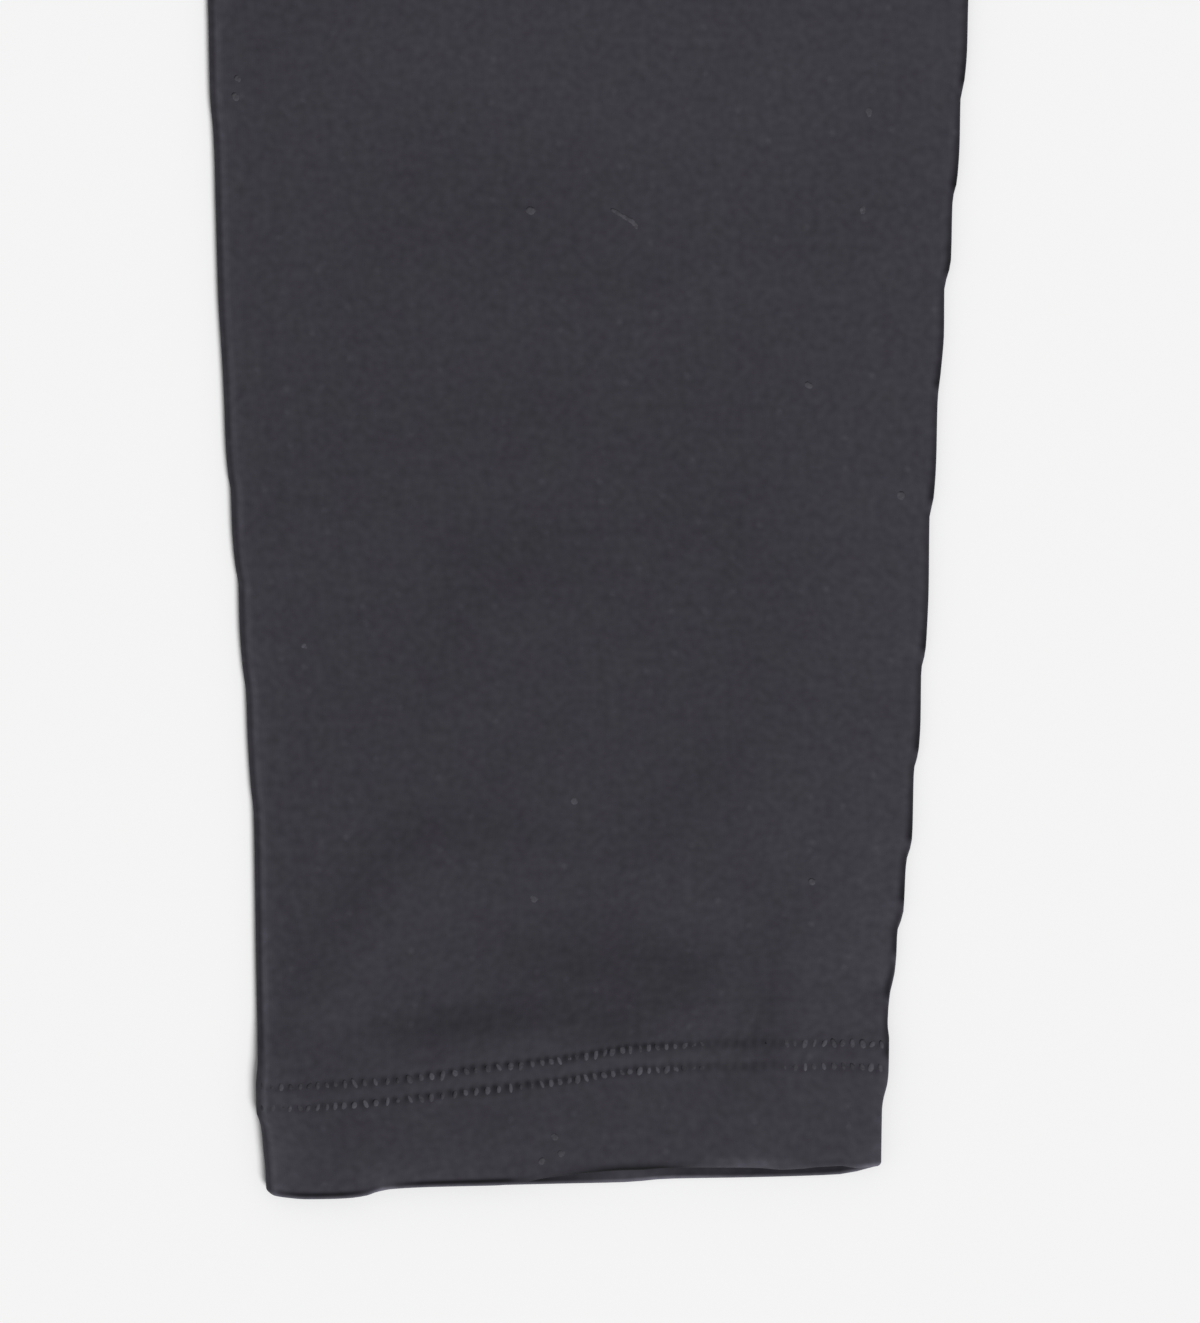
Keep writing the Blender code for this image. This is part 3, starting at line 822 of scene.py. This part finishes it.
def paintedEdgeShade(leg, ring, out):
    # painted light paling the edges, and painted shade and highlight lines along the fold and the inseam
    fromFold = (ring["outer"] - out) / mm
    fromSeam = (out - ring["inner"]) / mm
    fadedFold, foldReach = paintedEdgeShading["fold"]
    fadedSeam, seamReach = paintedEdgeShading["seam"]
    fadedHem, hemReach = paintedEdgeShading["hem"]
    heightMm = ring["height"] / mm
    belowCrotch = 1 - ring["aboveCrotch"]
    dark = -fadedFold * bump(fromFold, 0, foldReach) - fadedSeam * bump(fromSeam, 0, seamReach) * belowCrotch
    dark -= fadedHem * (1 - ease(heightMm / hemReach))
    lower = bump(heightMm, *paintedEdgeShading["lower"])
    unbroken = 1 - paintedEdgeShading["brokenShare"] * bump(heightMm, *paintedEdgeShading["broken"])
    line, rim = paintedEdgeShading["line"], paintedEdgeShading["rim"]
    dark += line[0] * (1 + paintedEdgeShading["lowerLine"] * lower) * unbroken * bump(fromFold, *line[1:])
    dark -= rim[0] * (1 + paintedEdgeShading["lowerRim"] * lower) * bump(fromFold, *rim[1:])
    if fromSeam < seamLine["reach"]:
        puckers = leg["puckers"]
        k = bisect.bisect(puckers, heightMm)
        below = heightMm - (puckers[k - 1] if k > 0 else seamLine["first"])
        above = puckers[k] - heightMm if k < len(puckers) else seamLine["last"]
        least, more, fade = seamLine["strength"]
        strength = (least + more * math.exp(-max(below, 0) / fade)) * ease(above / seamLine["below"])
        strength *= ramp(heightMm, *seamLine["start"])
        width = seamLine["width"][0] + seamLine["width"][1] * strength
        (deepest, place), pale = seamLine["dark"], seamLine["pale"]
        seam = deepest * strength * bump(fromSeam, place, width) - pale[0] * bump(fromSeam, *pale[1:])
        fuzz, fuzzReach = paintedEdgeShading["fuzz"]
        dark += (seam - fuzz * (1 - ease(fromSeam / fuzzReach))) * belowCrotch
    return dark


def paintedHemShade(across, height, along, frontness):
    # painted shade along the lower edges, and a painted highlight on their fuzz and lip, on the faces that
    # lie upwards
    h = height / mm
    inside = rimLine["inside"]
    fuzz = rimAt["fuzz"](across) * (1 - ease(h / rimAt["fuzzReach"](across)))
    if frontness > 0.5:
        rolled = ramp(across, *rimLine["rolledFrom"]) * (1 - ramp(across, *rimLine["rolledTo"]))
        place, width = mix(*rimLine["place"], rolled), mix(*rimLine["width"], rolled)
        line = rimAt["frontLine"](across) * bump(h, place, width)
        turn, turnWidth = rimLine["turn"]
        line += turn * bump(along / mm, 0, turnWidth) * rolled * (1 - ramp(across, *rimLine["turnEnds"]))
        if along < -inside:
            return line * rolled
        lip = rimAt["lip"](across) * bump(h, mix(*rimLine["lip"], rolled), rimLine["lipWidth"])
        return line - fuzz * (1 - rolled) - lip
    if along > inside:
        return 0.0
    short, right = frontShortAt(across), ramp(across, *rimLine["right"])
    start = rimLine["start"] * short * (1 - right)
    full = short * mix(*rimLine["full"], right) + 0.01  # never right at the start
    deep = ramp(h, start, full - start) * (1 - ramp(h, *rimLine["end"]))
    return rimAt["backLine"](across) * bump(h, *rimLine["back"]) + rimAt["backDepth"](across) * deep - fuzz


# A leg is one cut panel, flat at first, then laid in its shape.

panel = {
    # heights of the rows up the cut panel in mm, from the inside of the hem to the waist: start, end, step
    "rows": [(-25.3, -1.5, 4.0), (-1.5, 3.0, 0.25), (3.0, 17, 1.4), (17, 28.5, 0.5), (28.5, 36, 1.0)],
    "middle": (36, 280), "upper": (280, 950),
    "waistRows": [949.9, 950.4, 950.9, 951.5],
    # finer columns beside the edges, for a leg that is 130 mm wide
    "width": 130, "near": (0.4, 0.9, 1.5, 2.3, 3.4), "edge": 5.0,
    "stitched": (17.4 * mm, 28 * mm), "cuts": 3,  # where the columns are split again
    "waist": 949.9 * mm, "waistTurn": (0.6 * mm, 1.6 * mm),  # how the top edge turns into the band
}


def panelRows(leg):
    spans = panel["rows"] + [(*panel["middle"], leg["rowStep"]), (*panel["upper"], leg["upperStep"])]
    rows = [row for span in spans for row in spaced(*span)]
    return [row * mm for row in rows + panel["waistRows"]]


def panelColumns(leg):
    # from the inseam over the front and round the fold to the inseam
    near = [d / panel["width"] for d in panel["near"]]
    edge = panel["edge"] / panel["width"]
    front = [0.0] + near + spaced(edge, 1 - edge, (1 - 2 * edge) / leg["frontSpans"]) + [1 - edge]
    front += [1 - share for share in reversed(near)]
    seam, fold, back = leg["seamSpans"], leg["foldSpans"], leg["backSpans"]
    columns = columnsOf([("seamFront", seam)]) + [("front", share) for share in front]
    return columns + columnsOf([("fold", fold), ("back", back), ("seamBack", seam)]) + [("seamBack", 1.0)]


def turnedHem(along):
    # (height, depth under the outside) at a distance along the panel from the lowest point of its hem
    radius = garment["hemWall"] / 2
    bend = radius * math.pi / 2
    if abs(along) < bend:
        angle = along / radius
        return radius * (1 - math.cos(angle)), radius * (1 - math.sin(angle))
    height = radius + abs(along) - bend
    if along < 0:
        return height, 2 * radius
    depth, reach = panel["waistTurn"]
    return height, depth * ramp(along, panel["waist"], reach)


def columnAt(columns, position):
    # (part, share) between two columns of the panel
    i = min(int(position), len(columns) - 2)
    part, share = columns[i]
    nextPart, nextShare = columns[i + 1]
    if nextPart != part:
        nextShare = 1.0
    return part, mix(share, nextShare, position - i)


def makeLeg(leg):
    rows, columns = panelRows(leg), panelColumns(leg)
    bm = flatPanel(columns, rows)
    # finer columns along the stitched rows
    lowest, highest = panel["stitched"]
    finer = []
    for e in bm.edges:
        a, b = e.verts[0].co, e.verts[1].co
        if abs(a.y - b.y) < 0.01 and lowest < rows[round(a.y)] < highest:
            if columns[round(min(a.x, b.x))][0] in ("front", "back"):
                finer.append(e)
    bmesh.ops.subdivide_edges(
        bm, edges=finer, cuts=panel["cuts"], use_single_edge=True, use_grid_fill=True)

    cut = bm.loops.layers.uv.new("cut")
    paintedShadeAndTone = bm.verts.layers.float.new("paintedShadeAndTone")
    flatPlace = {}
    rings = {}
    for v in bm.verts:
        rowIndex = min(int(v.co.y + 1e-4), len(rows) - 2)
        along = mix(rows[rowIndex], rows[rowIndex + 1], v.co.y - rowIndex)
        part, share = columnAt(columns, v.co.x)
        height, depth = turnedHem(along)
        key = round(height, 6)
        if key not in rings:
            rings[key] = ringAt(height)
        ring = rings[key]
        out, z, frontness, fromFold = sectionPoint(leg, ring, part, share, depth)
        flatPlace[v.index] = (fromFold, along)
        across = min(max(acrossAt(ring, out), 0.0), 1.0)
        # painted shade and light along the edges and the hem
        dark = paintedEdgeShade(leg, ring, out) + paintedHemShade(across, height, along, frontness)
        if part in ("front", "back") and along > 0:
            # the groove of the sewing, and its painted shade
            deep, pulled = sewnIn(leg, ring["outer"] - out, across, height, part)
            z += -deep if part == "front" else deep * sewing["backDepth"]
            dark += pulled
        # painted shade and light of the folds, in patches on the front
        if frontness > 0.5:
            dark += paintedPatchShade(leg["tones"], out / mm, (height + hemLift(across, height, 1.0)) / mm)
        v[paintedShadeAndTone] = min(dark, paintedEdgeShading["darkest"])
        v.co = laidPlace(leg, ring, out, z, frontness)
    sewTube(bm, cut, flatPlace)
    piece = finishPiece(bm, leg["name"], jersey)
    giveThickness(piece)
    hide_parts(leg["node"])
    print(leg["name"], "laid")
    return piece


for leg in legs.values():
    leg["piece"] = makeLeg(leg)


# The thread of the cover stitches.

def addStitch(bm, paintedShadeAndTone, place, normal, along, size, slant, dark):
    across = normal.cross(along).normalized()
    turn = Matrix((along, across, normal)).transposed().to_4x4() @ Matrix.Rotation(slant, 4, "Z")
    scale = Matrix.Diagonal((*[s / 2 for s in size], 1.0))
    made = bmesh.ops.create_uvsphere(
        bm, u_segments=8, v_segments=5, radius=1.0, matrix=Matrix.Translation(place) @ turn @ scale)
    for v in made["verts"]:
        v[paintedShadeAndTone] = dark


def makeHemStitches(leg):
    bm = bmesh.new()
    paintedShadeAndTone = bm.verts.layers.float.new("paintedShadeAndTone")
    draw = random.Random(leg["name"])
    for (row, ply), places in leg["stitches"].items():
        ring = ringAt(row)
        frontness = 1.0 if ply == "front" else 0.0
        for at in places:
            out = ring["outer"] - at
            across = at / ring["width"]
            shows = standsOutAt(across) * draw.uniform(*sewing["shows"])
            deep, _ = sewnIn(leg, at, across, row, ply)
            z = ring["stack"] - deep if ply == "front" else deep * sewing["backDepth"]
            place = Vector(laidPlace(leg, ring, out, z, frontness))
            beside = Vector(laidPlace(leg, ring, out + 0.4 * mm, z, frontness))  # gives the row's direction
            along = (beside - place).normalized()
            normal = Vector((0, 0, 1)) if ply == "front" else Vector((0, 0, -1))
            normal = (normal - along * normal.dot(along)).normalized()
            size = [s * draw.uniform(*sewing["stitchSizes"]) for s in sewing["stitch"]]
            slant = math.radians(draw.uniform(-1, 1) * sewing["slant"])
            sink = mix(*sewing["sunk"], shows) * mm if ply == "front" else sewing["sunkBack"]
            # painted shade where the stitch is sunk, plus a random difference in colour
            dark = sewing["hiddenStitchShade"] * (1 - min(shows, 1)) + draw.uniform(*sewing["tones"])
            addStitch(bm, paintedShadeAndTone, place - normal * sink, normal, along, size, slant, dark)
    piece = finishPiece(bm, leg["name"].replace("_cloth", "_hem_stitches"), thread)
    print(piece.name, "sewn")
    return piece


for leg in legs.values():
    leg["stitchPiece"] = makeHemStitches(leg)


# Specks of lint and a short hair or two, caught on the cloth.

lintPlaces = {
    # (out, height, how many lumps): what clings to each leg
    "right": [
        (202.4, 231.8, 4), (202.0, 235.6, 3), (140.6, 208.0, 3), (70.7, 208.2, 4), (69.4, 228.6, 3),
        (82.1, 171.1, 2), (62.7, 147.9, 4), (188.1, 116.3, 2), (131.2, 83.6, 3), (140.0, 63.2, 3),
        (81.2, 66.4, 3), (135.4, 13.1, 3), (133.9, 9.4, 4), (138.4, 7.6, 2), (150, 420, 3), (96, 560, 2),
        (128, 700, 3),
    ],
    "left": [
        (110, 60, 3), (170, 190, 2), (90, 330, 3), (160, 500, 2), (60, 640, 3), (130, 780, 2),
    ],
}
hairs = {
    # the bends of each, as (out, height)
    "right": [[(122.8, 207.8), (121.4, 206.9), (119.9, 206.1), (119.0, 205.5), (117.9, 204)],
              [(121, 480), (119.6, 482.4), (117, 485)]],
    "left": [[(140, 250), (138.2, 248), (136, 247)]],
}
lintSize = {
    "lump": (1.9 * mm, 1.6 * mm, 0.24 * mm), "lumpSizes": (0.6, 1.15), "lumpSunk": 0.045 * mm,
    "lumpTones": (-0.2, 0.15), "scatter": 0.3,  # mm round the speck's middle
    "hair": (1.9 * mm, 0.95 * mm, 0.26 * mm), "hairSizes": (0.8, 1.2), "hairSunk": 0.03 * mm,
    "hairTones": (-0.1, 0.15), "hairTurn": 0.2, "hairStep": 0.6,
}


def onFront(leg, out, laidHeight):
    # the place on the front of a laid leg that is this far out and up, found in a few steps
    height = laidHeight
    for _ in range(4):
        ring = ringAt(height)
        across = acrossAt(ring, out)
        height = laidHeight - hemLift(across, height, 1.0)
    ring = ringAt(height)
    return Vector(laidPlace(leg, ring, out, ring["stack"], 1.0))


def makeLint(side, leg):
    bm = bmesh.new()
    paintedShadeAndTone = bm.verts.layers.float.new("paintedShadeAndTone")
    draw = random.Random(f"lint {side}")
    up = Vector((0, 0, 1))
    far, hairTurn = lintSize["scatter"], lintSize["hairTurn"]
    for out, height, count in lintPlaces[side]:
        middle = onFront(leg, out * mm, height * mm) - up * lintSize["lumpSunk"]
        for _ in range(count):
            place = middle + Vector((draw.uniform(-far, far), draw.uniform(-far, far), 0)) * mm
            size = [s * draw.uniform(*lintSize["lumpSizes"]) for s in lintSize["lump"]]
            turn, dark = draw.uniform(0, math.pi), draw.uniform(*lintSize["lumpTones"])
            addStitch(bm, paintedShadeAndTone, place, up, Vector((1, 0, 0)), size, turn, dark)
    for bends in hairs[side]:
        points = []
        for (outA, heightA), (outB, heightB) in zip(bends, bends[1:]):
            steps = math.ceil(math.hypot(outB - outA, heightB - heightA) / lintSize["hairStep"])
            for i in range(steps):
                t = i / steps
                place = onFront(leg, mix(outA, outB, t) * mm, mix(heightA, heightB, t) * mm)
                points.append(place - up * lintSize["hairSunk"])
        for before, after in zip(points, points[1:]):
            along = (after - before).normalized()
            upright = (up - along * up.dot(along)).normalized()
            size = [s * draw.uniform(*lintSize["hairSizes"]) for s in lintSize["hair"]]
            turn, dark = draw.uniform(-hairTurn, hairTurn), draw.uniform(*lintSize["hairTones"])
            addStitch(bm, paintedShadeAndTone, before, upright, along, size, turn, dark)
    bmesh.ops.recalc_face_normals(bm, faces=bm.faces)
    piece = finishPiece(bm, f"{side}_leg_lint", lint)
    print(piece.name, "caught")


for side, leg in legs.items():
    makeLint(side, leg)


# The waistband is a casing folded over at the top, gathered a little by its elastic.

band = {
    "height": 40 * mm,
    "halfBottom": 175.5 * mm,
    "halfTop": 172.5 * mm,
    "stack": 5.6 * mm,
    "wall": 2.6 * mm,
    "gatherPitch": 5.2,  # mm
    "gatherRise": 0.32 * mm,
    "gatherWander": (1.6, 19, 60),  # by how many ripples they wander, over how many mm across and up
    "gatherStrength": (0.55, 0.45, 13, 25),  # what is there anyway, and what comes and goes over so many mm
    "gatherFade": (5 * mm, 4 * mm, 8 * mm),  # above the waist seam, below the top edge, beside the folds
    "backGathers": (300, 0.7),  # the back reads its ripples this far on in mm, and has this share of them
    "frontSpans": 220,
    "backSpans": 90,
    "foldSpans": 8,
    "rowsUp": 14,
    "rowsOver": 6,
    "seamDark": (0.5, 1.2 * mm),  # the shade in the waist seam, and how far up it reaches
}


def gatherAt(x, height):
    # shallow upright ripples, uneven in width and height
    reach, wide, tall = band["gatherWander"]
    wander = reach * noise.noise(Vector((x / wide, height / tall, 5.0)))
    ripple = math.cos(math.tau * (x / band["gatherPitch"] + wander))
    least, more, wide, tall = band["gatherStrength"]
    strength = least + more * noise.noise(Vector((x / wide, height / tall, 12.0)))
    return band["gatherRise"] * ripple * strength


def bandPlace(part, share, along):
    # along runs up the outside, over the top edge and down the inside
    wallRound = band["wall"] / 2
    straight = band["height"] - wallRound
    arc = math.pi * wallRound
    if along < straight:
        height, depth = along, 0.0
    elif along < straight + arc:
        angle = (along - straight) / wallRound
        height, depth = straight + wallRound * math.sin(angle), wallRound * (1 - math.cos(angle))
    else:
        height, depth = straight - (along - straight - arc), 2 * wallRound
    halfWidth = mix(band["halfBottom"], band["halfTop"], height / band["height"])
    middle = band["stack"] / 2
    radius, centre = middle - depth, halfWidth - middle
    low, high, aside = band["gatherFade"]
    soft = ease(height / low) * ease((band["height"] - height) / high)
    if part == "front":
        x, z, frontness = mix(-centre, centre, share), band["stack"] - depth, 1.0
        z += gatherAt(x / mm, height / mm) * soft * ease((centre - abs(x)) / aside)
        fromSide = -centre + x
    elif part == "back":
        x, z, frontness = mix(centre, -centre, share), depth, 0.0
        further, gathered = band["backGathers"]
        gathers = gatherAt(x / mm + further, height / mm) + band["gatherRise"]
        z += gathers * gathered * soft * ease((centre - abs(x)) / aside)
        fromSide = centre - x
    else:
        side = 1 if part == "leftFold" else -1
        angle = math.pi / 2 - math.pi * share
        x = side * (centre + radius * math.cos(angle))
        z = middle + side * radius * math.sin(angle)
        frontness = 0.5 + 0.5 * side * math.sin(angle)
        fromSide = -middle * angle
    drop = frontDip(abs(x), halfWidth, garment["length"] - garment["bandHeight"])
    y = hemY + garment["length"] - band["height"] + height - frontness * drop
    return (x, y, z), fromSide


def makeWaistband():
    front, fold, back = band["frontSpans"], band["foldSpans"], band["backSpans"]
    columns = columnsOf([("front", front), ("leftFold", fold), ("back", back), ("rightFold", fold)])
    columns.append(("rightFold", 1.0))
    wallRound = band["wall"] / 2
    straight, arc = band["height"] - wallRound, math.pi * wallRound
    rows = spaced(0, straight, straight / band["rowsUp"])
    rows += spaced(straight, straight + arc, arc / band["rowsOver"])
    rows += spaced(straight + arc, 2 * straight + arc, straight / band["rowsUp"])
    rows.append(2 * straight + arc)
    bm = flatPanel(columns, rows)
    cut = bm.loops.layers.uv.new("cut")
    paintedShadeAndTone = bm.verts.layers.float.new("paintedShadeAndTone")
    flatPlace = {}
    seamDark, seamReach = band["seamDark"]
    for v in bm.verts:
        along = rows[round(v.co.y)]
        place, fromSide = bandPlace(*columns[round(v.co.x)], along)
        flatPlace[v.index] = (fromSide, along)
        v[paintedShadeAndTone] = seamDark * bump(along, 0, seamReach)
        v.co = place
    sewTube(bm, cut, flatPlace)
    piece = finishPiece(bm, "waistband_cloth", bandJersey)
    giveThickness(piece)
    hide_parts("waistband")
    print("waistband made")
    return piece


waistband = makeWaistband()


# The width of the widest leg, and the area of a leg's panel, worked out.

def panelArea():
    # of both plies up to the waist, in strips, and of the hem that is turned up inside
    step = 10
    area = 0.0
    for i in range(round((garment["length"] - garment["bandHeight"]) / mm / step)):
        area += 2 * ringAt((i + 0.5) * step * mm)["width"] * step * mm
    return area + 2 * ringAt(12 * mm)["width"] * garment["hemDepth"]  # as wide as halfway up the hem


widest = 2 * max(foldEdgeAt(h) - seamEdgeAt(h) for h in range(0, 950, 10)) * mm
for leg in legs.values():
    panelArea()


# Floor, light and camera.

studio = {
    "floorSize": 6.0,  # half its width
    "floorColour": (0.90, 0.90, 0.90, 1.0),
    "sunStrength": 3.15,
    "sunSize": 25,  # degrees, soft
    "sunFrom": (0.30, -0.64, 0.71),
    "skyStrength": 0.30,
}


def makeFloor():
    bm = bmesh.new()
    bmesh.ops.create_grid(bm, x_segments=1, y_segments=1, size=studio["floorSize"])
    material, tree, shader = newMaterial("pale_floor")
    matt = {"Base Color": studio["floorColour"], "Roughness": 1.0, "Specular IOR Level": 0.0}
    feed(tree, shader.inputs, matt)
    addMesh(bm, "floor", material)


makeFloor()

sun = bpy.data.lights.new("key", "SUN")
sun.energy = studio["sunStrength"]
sun.angle = math.radians(studio["sunSize"])
sunObject = addObject("key", sun)
sunObject.rotation_mode = "QUATERNION"
sunObject.rotation_quaternion = Vector(studio["sunFrom"]).to_track_quat("Z", "Y")
world = bpy.data.worlds.new("studio")
world.use_nodes = True
world.node_tree.nodes["Background"].inputs["Color"].default_value = (1.0, 1.0, 1.0, 1.0)
world.node_tree.nodes["Background"].inputs["Strength"].default_value = studio["skyStrength"]
bpy.context.scene.world = world

view = {
    "centre": (-0.12592, -0.38203), "height": 278.8 * mm, "distance": 3.0, "sensor": 36.0, "farthest": 50,
}
camera = bpy.data.cameras.new("camera")
camera.sensor_width = view["sensor"]
camera.lens = view["sensor"] * view["distance"] / view["height"]
camera.clip_end = view["farthest"]
cameraObject = addObject("camera", camera)
cameraObject.location = (*view["centre"], view["distance"])
bpy.context.scene.camera = cameraObject
bpy.context.scene.view_settings.view_transform = "Standard"
print("floor, light and camera set")
